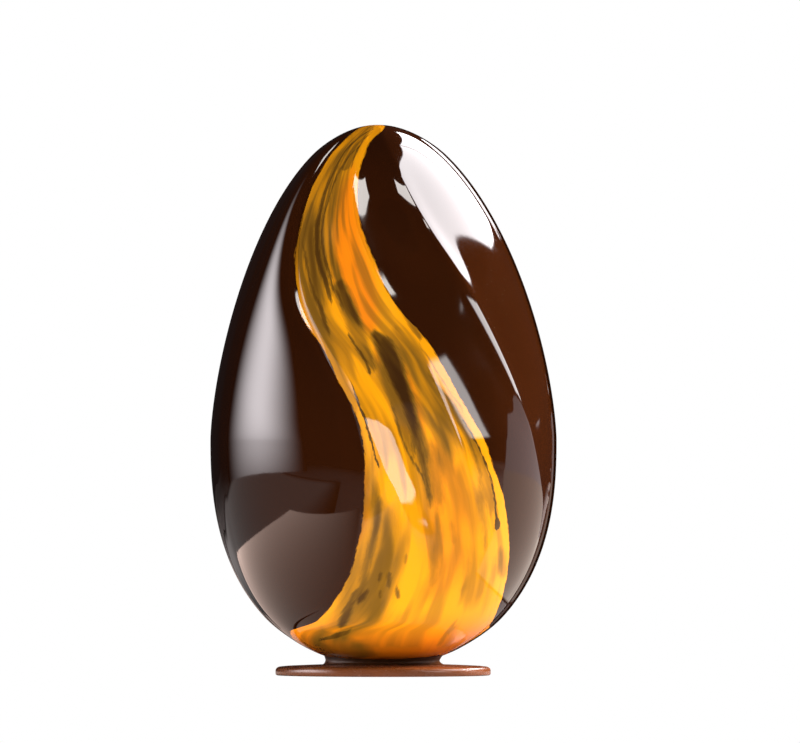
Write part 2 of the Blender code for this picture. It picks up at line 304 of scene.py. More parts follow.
# Strokes of warmer paint, laid out in the same way, with the widths of their tapered ends.
WARM_STROKES = (
    ("upper orange", 0.9, 13, (
        (353, 164, -5), (346, 202, 20), (348, 245, 32), (356, 285, 38), (362, 310, 32), (372, 340, -11),
    )),
    ("flank orange", 0.95, 11, (
        (379, 336, -11), (389, 358, 21), (402, 390, 27), (412, 422, 21), (420, 449, -11),
    )),
    ("belly orange", 0.5, 19, (
        (432, 428, -11), (445, 476, 38), (449, 525, 48), (448, 568, 38), (431, 605, -11),
    )),
    ("left orange", 0.7, 8, (
        (353, 433, -11), (360, 465, 11), (360, 503, 19), (354, 535, 16), (347, 562, -11),
    )),
)

# How a stroke is laid on the egg, in millimetres: how far its curves reach aside and up, the least half
# width and the span of half widths that they hold, the share of its softness on each side of its edge, how
# thin it is where it is gone, and how far past its ends that is.
STROKE_REACH = 70.0
STROKE_TOP = 210.0
LEAST_HALF = -8.0
HALF_SPAN = 24.0
SOFT_SHARE = 0.6
GONE_BELOW = 0.5
RUN_OUT = 0.8
SOFT_RUN_OUT = 0.4

# How thick the paint lies. Twos and fours are the ends of an ease: brush marks, or millimetres up the egg or
# in from the stripe's border, and then the cover there.
BRISTLES = 52.0
RAGGED_BORDER = (0.25, 0.75, -0.32, 0.32)
BROAD_COVER = (0.36, 0.64, 0.58, 0.93)
FINE_COVER = (0.28, 0.58, 0.94, 1.0)
BELLY_COVER = (95.0, 62.0, 0.0, 0.14)
CLEAN_LEFT = (4.2, 2.2)
CLEAN_RIGHT = (6.0, 3.0)
CLEAN_BELOW = (17.0, 9.0)
CLEAN_COVER = 0.93
SOFT_STROKE = 3.7
SOFT_STREAKS = (0.3, 0.7, 1.15, 0.7)
WARM_BELOW = (26.0, 12.0)
BORDER = (-0.30, 0.30)
# Painted shade: between these heights in millimetres the paint darkens into the chocolate, above the foot.
PAINTED_SHADE_BELOW = (4.6, 8.0)
PAINT_STOPS = (0.0, 0.38, 0.70, 0.96)
THICK_SHARE = 0.45
PAINT_ROUGHNESS = 0.03
PAINT_LINES = 0.03

# The fine bead of chocolate along the middle ridge: its narrowness, its height and where it fades.
NATURAL_BASE = 2.718
BEAD_NARROWNESS = 1.1
BEAD_HEIGHT = 2.6
BEAD_BELOW = (58.0, 70.0)
BEAD_ABOVE = (128.0, 112.0)

# How far the cloudy tone of chocolate goes darker and lighter, and its pale specks as a share and a lift.
SHELL_CLOUD = (0.82, 1.2)
POURED_CLOUD = (0.78, 1.22)
SPECK_TONE = (1.6, 0.02)
SPECK_SHARE = 0.5

# Columns of faces in each band between two lines, and rows from the flat underside to the tip.
BAND_COLUMNS = (6, 18, 46, 14, 48, 46, 56, 6)
ROWS = 300

# The poured pieces, in metres and shares: the disc's dome, the reach that it falls over, its rounded edge
# and how its rim and top wander, then how the foot wanders, spreads at its base, draws in more on its right
# and stays clear of the disc and the egg. Seeds set the wandering edges apart.
DISC_DOME = 0.0012
DOME_REACH = 0.040
DISC_EDGE = 0.0015
DISC_EDGE_SHARE = 0.0395
DISC_LIFT = 0.00010
RIM_INSET = 0.4
FLAT_BELOW = 0.001
DISC_STEPS = 240
FOOT_LEVELS = (0.0, 0.06, 0.15, 0.28, 0.42, 0.56, 0.70, 0.82, 0.92, 1.0)
FOOT_SHARE = 0.985
FOOT_WANDER = 0.012
WAIST_LEAN = 0.4
WAIST_WANDER = 0.2
FOOT_SPREAD = 0.0004
FOOT_CLEAR_BELOW = 0.00004
FOOT_CLEAR_ABOVE = 0.00005
FOOT_STEPS = 144
RIM_SEED, LIFT_SEED, FOOT_SEED, WAIST_SEED = 0.6, 2.9, 1.7, 4.1


def through(points, places):
    """Values at places on the smooth curve through (place, value) points."""
    xs = np.array([point[0] for point in points])
    ys = np.array([point[1] for point in points], float)
    slopes = np.empty(len(xs))
    slopes[1:-1] = (ys[2:] - ys[:-2]) / (xs[2:] - xs[:-2])
    slopes[0] = (ys[1] - ys[0]) / (xs[1] - xs[0])
    slopes[-1] = (ys[-1] - ys[-2]) / (xs[-1] - xs[-2])
    places = np.clip(places, xs[0], xs[-1])
    low = np.clip(np.searchsorted(xs, places) - 1, 0, len(xs) - 2)
    span = xs[low + 1] - xs[low]
    t = (places - xs[low]) / span
    return (
        ys[low] * (2 * t**3 - 3 * t**2 + 1)
        + slopes[low] * span * (t**3 - 2 * t**2 + t)
        + ys[low + 1] * (3 * t**2 - 2 * t**3)
        + slopes[low + 1] * span * (t**3 - t**2)
    )


def smooth_step(low, high, value):
    """Rises from 0 at low to 1 at high with level ends."""
    t = np.clip((value - low) / (high - low), 0.0, 1.0)
    return t * t * (3 - 2 * t)


def meridian(angle, egg_radius):
    """Radius and height of the plain egg, from its widest level at 0 to its tip at 90 degrees."""
    rise = np.abs(np.sin(angle))
    reach = np.maximum(0.0, np.cos(angle))
    top_height = EGG_MIDDLE + (EGG_TOP - EGG_MIDDLE) * rise ** (2 / TOP_FULLNESS)
    low_height = EGG_MIDDLE - (EGG_MIDDLE - EGG_TIP) * rise ** (2 / BOTTOM_FULLNESS)
    top_radius = egg_radius * reach ** (2 * TOP_BLUNTNESS)
    low_radius = egg_radius * reach ** (2 * BOTTOM_BLUNTNESS)
    upper = angle >= 0
    return np.where(upper, top_radius, low_radius), np.where(upper, top_height, low_height)


def flat_angle():
    """Angle on the meridian where the underside was melted flat to stand on the disc."""
    rise = (EGG_MIDDLE - EGG_FLAT) / (EGG_MIDDLE - EGG_TIP)
    return -math.asin(rise ** (BOTTOM_FULLNESS / 2))


def dip(t):
    """Rounded hollow of depth 1, deepest a third of the way across and flat at its far side."""
    return 27 / 4 * t * (1 - t) ** 2


def relief(height, radius, band, t, shape):
    """Bearings in degrees and stand-offs in metres at shares t of the way across bands."""
    lip_share = np.minimum(shape.lip_width / np.maximum(radius, WELD), LIP_SHARE_AT_TIP)
    lip_angle = np.degrees(np.arcsin(lip_share))
    square = np.full_like(height, 90.0)
    ridge = through(RIGHT_RIDGE, height)
    lines = np.stack((
        -square,
        lip_angle - square,
        through(LEFT_EDGE, height),
        through(VALLEY, height),
        through(SWELL, height),
        through(MIDDLE_RIDGE, height),
        ridge,
        square - lip_angle,
        square,
    ))
    near = np.take_along_axis(lines, band[None], 0)[0]
    far = np.take_along_axis(lines, band[None] + 1, 0)[0]
    bearing = near + (far - near) * t
    fade = smooth_step(*LIP_FADE, height) * smooth_step(*LIP_FADE, EGG_TOP - height + LIP_FADE[0])
    lip = shape.lip_height * fade
    step = shape.rim_step * fade
    valley = through(VALLEY_RELIEF, height)
    swell = through(SWELL_RELIEF, height)
    middle = through(MIDDLE_RELIEF, height)
    right = through(RIGHT_RELIEF, height)
    stand_offs = (
        lip * (1 + np.cos(np.pi * t)) / 2,
        step * smooth_step(STEP_START, 1.0, t),
        step + through(LOBE_RELIEF, height) * np.sin(np.pi * t) + (valley - step) * t**LOBE_FALL,
        valley + (swell - valley) * t,
        swell + (middle - swell) * t - through(FACE_RELIEF, height) * through(HOLLOW, t),
        middle + (right - middle) * t - through(TROUGH_RELIEF, height) * dip(t),
        right * (1 - t) ** PANEL_FALL - through(PANEL_RELIEF, height) * dip(t),
        lip * (1 - np.cos(np.pi * t)) / 2,
    )
    stand_off = np.choose(band, stand_offs)
    from_crest = np.radians(bearing - ridge) * radius / through(CREST_WIDTH, height)
    from_crest = np.where(from_crest < 0, from_crest / CREST_FRONT_SPREAD, from_crest)
    stand_off = stand_off + through(CREST_RELIEF, height) * np.exp(-(from_crest**2))
    return bearing, stand_off + finger_marks(bearing, height, radius, shape)


def finger_marks(bearing, height, radius, shape):
    """Row of bumps pressed along the front of the right joint."""
    from_joint = (np.radians(90 - bearing) * radius - FINGER_REACH[0]) / FINGER_REACH[1]
    row = np.zeros_like(height)
    for place, strength in FINGER_MARKS:
        row = row + strength * np.exp(-(((height - place) / FINGER_LENGTH) ** 2))
    return shape.finger_depth * row * np.exp(-(from_joint**2))


def shell_points(angle, band, t, turn, shape):
    """Points of a half shell's face, with their bearings and radii. The turn sets the back half behind."""
    radius, height = meridian(angle, shape.egg_radius)
    bearing, stand_off = relief(height, radius, band, t, shape)
    near_r, near_z = meridian(np.minimum(angle + SKIN_TURN, math.pi / 2), shape.egg_radius)
    far_r, far_z = meridian(angle - SKIN_TURN, shape.egg_radius)
    out_r, out_z = near_z - far_z, far_r - near_r
    length = np.hypot(out_r, out_z)
    radius = np.maximum(0.0, radius + stand_off * out_r / length)
    height = height + stand_off * out_z / length
    sweep = np.radians(bearing)
    x = radius * np.sin(sweep)
    y = -radius * np.cos(sweep) - GAP / 2
    side = math.cos(turn)
    share = np.maximum(0.0, (height - EGG_MIDDLE) / (EGG_TOP - EGG_MIDDLE))
    x = x * side - HALF_MISMATCH * side - TIP_LEAN * share**LEAN_POWER
    return np.stack((x, y * side, height), axis=-1), bearing, radius


def size_property(name, description, default):
    return FloatProperty(name=name, description=description, default=default, subtype="DISTANCE")


class EggShape(bpy.types.PropertyGroup):
    """Sizes of the egg that a maker would change."""

    egg_radius: size_property("Egg radius", "Widest radius of the plain egg", 0.0637)
    lip_width: size_property("Lip width", "Width of the joint's lip on each half", 0.0018)
    lip_height: size_property("Lip height", "How far the joint's lip stands out", 0.0006)
    rim_step: size_property("Rim step", "Height of the step beside the plain rim", 0.0006)
    finger_depth: size_property("Finger mark depth", "Height of the bumps pressed along the joint", 0.0004)
    disc_wave: size_property("Disc wave", "How far the poured disc's rim wanders", 0.00035)
    foot_waist: size_property("Foot waist", "How far the melted foot draws in", 0.0008)


def colour_property(name, description, default):
    return FloatVectorProperty(
        name=name, description=description, default=default, subtype="COLOR", size=3, min=0.0, max=1.0
    )


class EggColours(bpy.types.PropertyGroup):
    """Colours of the chocolate and of the cocoa butter paint."""

    dark_chocolate: colour_property("Dark chocolate", "Colour of the shells", (0.0205, 0.0047, 0.0009))
    foot_chocolate: colour_property("Foot chocolate", "Colour of the melted foot", (0.040, 0.0125, 0.0028))
    milk_chocolate: colour_property("Milk chocolate", "Colour of the poured disc", (0.105, 0.030, 0.010))
    paint_yellow: colour_property("Yellow paint", "Colour of thick paint", (0.715, 0.268, 0.003))
    paint_orange: colour_property("Orange paint", "Colour of thick warm paint", (0.715, 0.172, 0.004))
    paint_olive: colour_property("Thin paint", "Colour of thin paint over chocolate", (0.150, 0.067, 0.006))
    paint_brown: colour_property("Bare paint", "Colour where almost none is left", (0.030, 0.011, 0.0025))


def smooth_shade(mesh, degrees):
    mesh.shade_smooth()
    mesh.set_sharp_from_angle(angle=math.radians(degrees))


def put_in_place(piece, node):
    """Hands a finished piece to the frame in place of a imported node."""
    bpy.context.scene.collection.objects.link(piece)
    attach(piece, "root")
    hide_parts(node)


def half_shell(name, node, turn, material):
    """Bends a fine grid over the sculpted surface, and notes each point's place there and in the stripe."""
    shape = bpy.context.scene.egg_shape
    places = [(band, step / count) for band, count in enumerate(BAND_COLUMNS) for step in range(count)]
    places.append((len(BAND_COLUMNS) - 1, 1.0))
    columns = len(places) - 1
    start = flat_angle()
    maker = bmesh.new()
    bmesh.ops.create_grid(maker, x_segments=columns, y_segments=ROWS, size=1.0)
    across = np.array([round((vert.co.x + 1) / 2 * columns) for vert in maker.verts])
    up = np.array([round((vert.co.y + 1) / 2 * ROWS) for vert in maker.verts])
    band = np.array([place[0] for place in places])[across]
    t = np.array([place[1] for place in places])[across]
    points, bearing, radius = shell_points(start + (math.pi / 2 - start) * up / ROWS, band, t, turn, shape)
    height = points[:, 2]
    left = through(PAINT_LEFT, height)
    right = through(PAINT_RIGHT, height)
    share = (bearing - left) / np.maximum(right - left, 1.0)
    inside_left = np.radians(bearing - left) * radius * MM
    inside_right = np.radians(right - bearing) * radius * MM
    from_ridge = np.radians(bearing - through(MIDDLE_RIDGE, height)) * radius * MM
    place_layer = maker.verts.layers.float_vector.new("place")
    paint_layer = maker.verts.layers.float_vector.new("paint")
    rim = {}
    underside_row = {}
    for index, vert in enumerate(maker.verts):
        x, y, z = points[index]
        vert.co = (x, y, z)
        sideways = x * math.cos(turn + VIEW_TURN) + y * math.sin(turn + VIEW_TURN)
        vert[place_layer] = (sideways * MM, z * MM, from_ridge[index])
        vert[paint_layer] = (inside_left[index], inside_right[index], share[index])
        if across[index] in (0, columns):
            rim[up[index] if across[index] == 0 else 2 * ROWS + 1 - up[index]] = vert
        if up[index] == 0:
            underside_row[across[index]] = vert
    maker.faces.new([rim[place] for place in sorted(rim)])
    maker.faces.new([underside_row[column] for column in sorted(underside_row)])
    bmesh.ops.remove_doubles(maker, verts=maker.verts, dist=WELD)
    bmesh.ops.recalc_face_normals(maker, faces=maker.faces)
    mesh = bpy.data.meshes.new(name)
    maker.to_mesh(mesh)
    maker.free()
    smooth_shade(mesh, degrees=35)
    mesh.materials.append(material)
    put_in_place(bpy.data.objects.new(name, mesh), node)


class Bench:
    """Short ways to add nodes to one tree and to join them."""

    def __init__(self, tree):
        self.tree = tree

    def set(self, socket, value):
        if isinstance(value, bpy.types.NodeSocket):
            self.tree.links.new(value, socket)
        elif isinstance(value, bpy.types.Node):
            self.tree.links.new(value.outputs[0], socket)
        else:
            socket.default_value = value

    def add(self, kind, inputs=None, **settings):
        node = self.tree.nodes.new(kind)
        for name, value in settings.items():
            setattr(node, name, value)
        for name, value in (inputs or {}).items():
            self.set(node.inputs[name], value)
        return node

    def sum(self, operation, *values):
        return self.add("ShaderNodeMath", dict(enumerate(values)), operation=operation).outputs[0]

    def times(self, product, *others):
        for other in others:
            product = self.sum("MULTIPLY", product, other)
        return product

    def ease(self, value, low, high, to_low=0.0, to_high=1.0):
        """Value eased from low to high and fitted between two new ends."""
        inputs = {"Value": value, "From Min": low, "From Max": high, "To Min": to_low, "To Max": to_high}
        return self.add("ShaderNodeMapRange", inputs, interpolation_type="SMOOTHSTEP").outputs[0]

    def blend(self, share, first, second):
        """Two colours mixed. The node takes them at sockets 6 and 7 and gives the mix at 2."""
        return self.add("ShaderNodeMix", {0: share, 6: first, 7: second}, data_type="RGBA").outputs[2]

    def noise(self, vector, scale, detail=2.0, roughness=0.5, distortion=0.0):
        inputs = {"Vector": vector, "Scale": scale, "Detail": detail, "Roughness": roughness}
        return self.add("ShaderNodeTexNoise", {**inputs, "Distortion": distortion}).outputs[0]

    def layer(self, name):
        """The three numbers that the mesh keeps at each point under a name."""
        kept = self.add("ShaderNodeAttribute", attribute_name=name).outputs["Vector"]
        return self.add("ShaderNodeSeparateXYZ", {0: kept}).outputs

    def group(self, tree, inputs):
        node = self.add("ShaderNodeGroup", node_tree=tree)
        for name, value in inputs.items():
            self.set(node.inputs[name], value)
        return node


def effect(name, takes, gives):
    """A new shader node group with its number sockets, the bench that fills it, and its two ends."""
    tree = bpy.data.node_groups.new(name, "ShaderNodeTree")
    for label, value in takes.items():
        socket = tree.interface.new_socket(name=label, in_out="INPUT", socket_type="NodeSocketFloat")
        socket.default_value = value
    for label in gives:
        tree.interface.new_socket(name=label, in_out="OUTPUT", socket_type="NodeSocketFloat")
    bench = Bench(tree)
    return tree, bench, bench.add("NodeGroupInput").outputs, bench.add("NodeGroupOutput").inputs


def brush_stroke_effect():
    """Mask of one tapered stroke, from the place across the half and the stroke's coded centre and width."""
    if "Brush stroke" in bpy.data.node_groups:
        return bpy.data.node_groups["Brush stroke"]
    takes = {"Across": 0, "Centre": 0, "Half width": 0, "Softness": 1, "Raggedness": 0}
    tree, bench, taken, given = effect("Brush stroke", takes, ("Mask",))
    centre = bench.sum("MULTIPLY_ADD", taken["Centre"], 2 * STROKE_REACH, -STROKE_REACH)
    aside = bench.sum("ABSOLUTE", bench.sum("SUBTRACT", taken["Across"], centre))
    half = bench.sum("MULTIPLY_ADD", taken["Half width"], HALF_SPAN, LEAST_HALF)
    inside = bench.sum("ADD", bench.sum("SUBTRACT", half, aside), taken["Raggedness"])
    low, high = [bench.times(taken["Softness"], share) for share in (-SOFT_SHARE, SOFT_SHARE)]
    bench.set(given["Mask"], bench.ease(inside, low, high))
    return tree


def bristle_effect():
    """Fine and broad marks that a brush leaves along its way. Third coordinates set the noises apart."""
    if "Bristle marks" in bpy.data.node_groups:
        return bpy.data.node_groups["Bristle marks"]
    takes = {"Across": 0, "Along": 0, "Fineness": 1, "Stretch": 0.05}
    tree, bench, taken, given = effect("Bristle marks", takes, ("Fine", "Broad", "Edge"))
    across = bench.times(taken["Across"], taken["Fineness"])
    along = bench.times(taken["Along"], taken["Stretch"])
    narrow = bench.add("ShaderNodeCombineXYZ", {0: across, 1: along})
    wide = bench.add("ShaderNodeCombineXYZ", {0: bench.times(across, 0.22), 1: along, 2: 4.0})
    even = bench.add("ShaderNodeCombineXYZ", {0: across, 1: bench.times(along, 6.0), 2: 9.0})
    bench.set(given["Fine"], bench.noise(narrow, 1.0, 3.0, 0.6, 0.1))
    bench.set(given["Broad"], bench.noise(wide, 1.0, 1.5, 0.5, 0.3))
    bench.set(given["Edge"], bench.noise(even, 1.6, 2.0, 0.6))
    return tree


def chocolate_skin_effect():
    """Faint unevenness of set chocolate: cloudy tone, gloss, slow ripples with fine grain, and specks."""
    if "Chocolate skin" in bpy.data.node_groups:
        return bpy.data.node_groups["Chocolate skin"]
    takes = {"Size": 1, "Gloss low": 0.04, "Gloss high": 0.08, "Speck": 0}
    tree, bench, taken, given = effect("Chocolate skin", takes, ("Tone", "Roughness", "Ripple", "Specks"))
    place = bench.add("ShaderNodeTexCoord").outputs["Object"]

    def mottle(scale, detail, *rest):
        return bench.noise(place, bench.times(taken["Size"], scale), detail, *rest)

    bench.set(given["Tone"], mottle(22.0, 3.0, 0.5, 0.2))
    gloss = bench.ease(mottle(75.0, 4.0, 0.6), 0.35, 0.65, taken["Gloss low"], taken["Gloss high"])
    bench.set(given["Roughness"], gloss)
    slow, grain = mottle(48.0, 1.0, 0.4), mottle(420.0, 2.0, 0.6)
    bench.set(given["Ripple"], bench.sum("MULTIPLY_ADD", grain, 0.06, slow))
    level = bench.sum("SUBTRACT", 0.78, taken["Speck"])
    bench.set(given["Specks"], bench.ease(mottle(300.0, 1.0, 0.5), level, bench.sum("ADD", level, 0.03)))
    return tree


def fresh_material(name):
    material = bpy.data.materials.new(name)
    material.use_nodes = True
    shader = material.node_tree.nodes["Principled BSDF"]
    return material, Bench(material.node_tree), shader


def from_photo(across, down, width=TAPERED_WIDTH):
    """Height, place across and half width in millimetres of a stroke's point in the photo."""
    middle = [MM * place for place in FRAME_CENTRE]
    scale = MM / PIXELS_PER_METRE
    height = middle[1] + (PHOTO_SIZE[1] / 2 - down) * scale
    return height, middle[0] + (across - PHOTO_SIZE[0] / 2) * scale, width / 2 * scale


def stroke_mask(bench, stroke, along, across, ragged):
    """Curves that carry one stroke's centre and width up the egg, and the stroke's mask."""
    name, _, softness, pixels = stroke
    points = sorted(from_photo(*point) for point in pixels)
    soft = softness * MM / PIXELS_PER_METRE
    low, high = points[0], points[-1]
    gone = -SOFT_SHARE * soft - GONE_BELOW
    points.insert(0, (low[0] - RUN_OUT - SOFT_RUN_OUT * soft, low[1], gone))
    points.append((high[0] + RUN_OUT + SOFT_RUN_OUT * soft, high[1], gone))
    curves = bench.add("ShaderNodeRGBCurve", {"Color": along})
    curves.mapping.extend = "HORIZONTAL"
    heights = [height / STROKE_TOP for height, _, _ in points]
    centres = [(centre + STROKE_REACH) / (2 * STROKE_REACH) for _, centre, _ in points]
    halves = [(half - LEAST_HALF) / HALF_SPAN for _, _, half in points]
    for channel, values in enumerate((centres, halves)):
        curve = curves.mapping.curves[channel]
        first, *others, last = zip(heights, values)
        curve.points[0].location = first
        curve.points[1].location = last
        for place in others:
            curve.points.new(*place)
        for point in curve.points:
            point.handle_type = "AUTO_CLAMPED"
    curves.mapping.update()
    coded = bench.add("ShaderNodeSeparateColor", {0: curves}).outputs
    inputs = {"Across": across, "Centre": coded[0], "Half width": coded[1], "Softness": soft}
    mask = bench.group(brush_stroke_effect(), {**inputs, "Raggedness": ragged})
    mask.label = name
    return mask.outputs[0]


def toned(colour, share, lift=0.0):
    """A darker or lighter colour, with its alpha."""
    return (*[channel * share + lift for channel in colour], 1)


def decorated_chocolate():
    """Glossy dark shell with the brushed stripe of cocoa butter paint."""
    colours = bpy.context.scene.egg_colours
    material, bench, shader = fresh_material("decorated_chocolate")
    across, height, from_ridge = bench.layer("place")
    inside_left, inside_right, share = bench.layer("paint")
    along = bench.sum("DIVIDE", height, STROKE_TOP)
    flow = bench.times(share, BRISTLES)
    inputs = {"Across": flow, "Along": height, "Fineness": 0.9, "Stretch": 0.035}
    fine, broad, edge = bench.group(bristle_effect(), inputs).outputs
    ragged = bench.ease(edge, *RAGGED_BORDER)

    cover = bench.ease(broad, *BROAD_COVER)
    cover = bench.sum("ADD", cover, bench.ease(height, *BELLY_COVER))
    cover = bench.times(cover, bench.ease(fine, *FINE_COVER))
    clean = bench.ease(inside_left, *CLEAN_LEFT)
    clean = bench.sum("MAXIMUM", clean, bench.ease(inside_right, *CLEAN_RIGHT))
    clean = bench.sum("MAXIMUM", clean, bench.ease(height, *CLEAN_BELOW))
    cover = bench.sum("MAXIMUM", cover, bench.times(clean, CLEAN_COVER))
    streaks = bench.ease(broad, *SOFT_STREAKS)
    for stroke in STROKES:
        _, strength, softness, _ = stroke
        mask = stroke_mask(bench, stroke, along, across, ragged)
        mask = bench.times(mask, streaks) if softness > SOFT_STROKE else mask
        cover = bench.times(cover, bench.sum("MULTIPLY_ADD", mask, -strength, 1.0))
    warmth = bench.ease(height, *WARM_BELOW)
    for stroke in WARM_STROKES:
        mask = stroke_mask(bench, stroke, along, across, ragged)
        warmth = bench.sum("MAXIMUM", warmth, bench.times(mask, stroke[1]))

    def tones(thick):
        between = [THICK_SHARE * a + (1 - THICK_SHARE) * b for a, b in zip(thick, colours.paint_olive)]
        ramp = bench.add("ShaderNodeValToRGB", {0: cover})
        for position in PAINT_STOPS[1:3]:
            ramp.color_ramp.elements.new(position)
        shades = (colours.paint_brown, colours.paint_olive, between, thick)
        for element, position, colour in zip(ramp.color_ramp.elements, PAINT_STOPS, shades):
            element.position = position
            element.color = (*colour, 1)
        return ramp.outputs[0]

    painted = bench.blend(warmth, tones(colours.paint_yellow), tones(colours.paint_orange))
    skin = bench.group(chocolate_skin_effect(), {"Size": 1.0, "Gloss low": 0.035, "Gloss high": 0.06})
    tone, gloss, ripple, _ = skin.outputs
    dark, light = [toned(colours.dark_chocolate, way) for way in SHELL_CLOUD]
    chocolate = bench.blend(tone, dark, light)
    border = bench.sum("ADD", bench.sum("MINIMUM", inside_left, inside_right), ragged)
    painted_here = bench.ease(border, *BORDER)
    # Painted shade: low on the underside, just above the foot, the paint darkens into the chocolate.
    painted = bench.blend(bench.ease(height, *PAINTED_SHADE_BELOW), chocolate, painted)
    bench.set(shader.inputs["Base Color"], bench.blend(painted_here, chocolate, painted))
    bristled = bench.times(painted_here, fine)
    bench.set(shader.inputs["Roughness"], bench.sum("MULTIPLY_ADD", bristled, PAINT_ROUGHNESS, gloss))
    aside = bench.times(from_ridge, from_ridge)
    bead = bench.sum("POWER", NATURAL_BASE, bench.times(aside, -BEAD_NARROWNESS))
    reach = bench.times(bench.ease(height, *BEAD_BELOW), bench.ease(height, *BEAD_ABOVE))
    bead = bench.times(bead, reach, BEAD_HEIGHT)
    lines = bench.sum("ADD", ripple, bench.times(bristled, PAINT_LINES))
    inputs = {"Height": bench.sum("ADD", lines, bead), "Strength": 0.5, "Distance": 0.00009}
    bench.set(shader.inputs["Normal"], bench.add("ShaderNodeBump", inputs))
    return material


def poured_chocolate(name, colour, gloss, sheen, size, ripple_height):
    """Plain chocolate that was poured and left to set."""
    material, bench, shader = fresh_material(name)
    inputs = {"Size": size, "Gloss low": gloss[0], "Gloss high": gloss[1], "Speck": 0.04}
    tone, rough, ripple, specks = bench.group(chocolate_skin_effect(), inputs).outputs
    cloudy = bench.blend(tone, *[toned(colour, way) for way in POURED_CLOUD])
    speckled = bench.blend(bench.times(specks, SPECK_SHARE), cloudy, toned(colour, *SPECK_TONE))
    bench.set(shader.inputs["Base Color"], speckled)
    bench.set(shader.inputs["Roughness"], rough)
    shader.inputs["Specular IOR Level"].default_value = sheen
    bump = bench.add("ShaderNodeBump", {"Height": ripple, "Strength": 0.6, "Distance": ripple_height})
    bench.set(shader.inputs["Normal"], bump)
    return material


def ring_mesh(name, rings, material):
    """Closed skin through rings of points, from the middle of one face round to the middle of the other."""
    steps = len(rings[0])
    points = [point for ring in rings for point in ring]
    faces = []
    for level in range(len(rings) - 1):
        for step in range(steps):
            after = (step + 1) % steps
            low, high = level * steps, (level + 1) * steps
            faces.append((low + step, low + after, high + after, high + step))
    last = (len(rings) - 1) * steps
    faces.append(tuple(reversed(range(steps))))
    faces.append(tuple(last + step for step in range(steps)))
    mesh = bpy.data.meshes.new(name)
    mesh.from_pydata(points, [], faces)
    maker = bmesh.new()
    maker.from_mesh(mesh)
    bmesh.ops.recalc_face_normals(maker, faces=maker.faces)
    maker.to_mesh(mesh)
    maker.free()
    smooth_shade(mesh, degrees=40)
    mesh.materials.append(material)
    return bpy.data.objects.new(name, mesh)


def wander(sweep, seed):
    """Slow closed wave between about -1 and 1 round a poured edge, as turns and sizes of its parts."""
    waves = ((2, 0.45), (3, 0.35), (5, 0.3), (8, 0.16), (13, 0.08))
    return sum(size * math.sin(turns * sweep + seed * (turns + 1.3)) for turns, size in waves)


def turned_rings(levels, steps, profile):
    """Rings of points round the middle line, one for each level. The profile gives reach and height."""
    sweeps = [2 * math.pi * step / steps for step in range(steps)]
    rings = []
    for level in levels:
        ends = [profile(sweep, level) for sweep in sweeps]
        rings.append([
            (reach * math.cos(sweep), reach * math.sin(sweep), height)
            for sweep, (reach, height) in zip(sweeps, ends)
        ])
    return rings


def underside(radius, egg_radius):
    """Height of the plain egg's underside at a radius."""
    reach = (radius / egg_radius) ** (0.5 / BOTTOM_BLUNTNESS)
    return EGG_MIDDLE - (EGG_MIDDLE - EGG_TIP) * math.sqrt(1 - reach * reach) ** (2 / BOTTOM_FULLNESS)


def disc_profile():
    """Rim of the disc as (share of the radius, height): flat underside, round edge and domed top."""
    top = DISC_BOX[1].z
    rim_top = top - DISC_DOME
    edge_base = rim_top - DISC_EDGE
    profile = [(0.5, 0.0), (0.90, 0.0), (0.985, 0.0), (0.996, 0.00025), (1.0, 0.0007), (1.0, edge_base)]
    for degrees in (15, 30, 45, 60, 75, 90):
        turn = math.radians(degrees)
        reach = 1 - DISC_EDGE_SHARE + DISC_EDGE_SHARE * math.cos(turn)
        profile.append((reach, edge_base + DISC_EDGE * math.sin(turn)))
    for reach in (0.92, 0.85, 0.75, 0.62, 0.5):
        profile.append((reach, rim_top + DISC_DOME * (1 - reach * reach) * 0.98))
    profile.append((0.05, top - 0.00002))
    return profile


class EGG_OT_shells(bpy.types.Operator):
    """Make both half shells of the egg with their brushed stripes."""

    bl_idname = "egg.shells"
    bl_label = "Half shells"

    def execute(self, context):
        material = decorated_chocolate()
        half_shell("front_shell", "egg_half_front", 0.0, material)
        half_shell("back_shell", "egg_half_back", math.pi, material)
        return {"FINISHED"}


class EGG_OT_foot(bpy.types.Operator):
    """Make the dab of melted chocolate that holds the egg on its disc."""

    bl_idname = "egg.foot"
    bl_label = "Melted foot"

    def execute(self, context):
        shape = context.scene.egg_shape
        half_width, half_depth, _ = FOOT_BOX[1]
        top = DISC_BOX[1].z

        def profile(sweep, place):
            oval = math.hypot(half_width * math.cos(sweep), half_depth * math.sin(sweep))
            wave = 1 + FOOT_WANDER * wander(sweep, FOOT_SEED)
            lean = 1 + WAIST_LEAN * math.cos(sweep) + WAIST_WANDER * wander(sweep, WAIST_SEED)
            waist = shape.foot_waist * math.sin(math.pi * place**0.8) * lean
            reach = oval * wave * FOOT_SHARE - waist + FOOT_SPREAD * (1 - place) ** 3
            low = top - DISC_DOME * (reach / DOME_REACH) ** 2 + FOOT_CLEAR_BELOW
            high = underside(reach, shape.egg_radius) - FOOT_CLEAR_ABOVE
            return reach, low + (high - low) * place

        rings = turned_rings(FOOT_LEVELS, FOOT_STEPS, profile)
        colour = context.scene.egg_colours.foot_chocolate
        material = poured_chocolate("melted_chocolate", colour, (0.38, 0.52), 0.2, 2.2, 0.0002)
        put_in_place(ring_mesh("foot_dab", rings, material), "melted_foot")
        return {"FINISHED"}


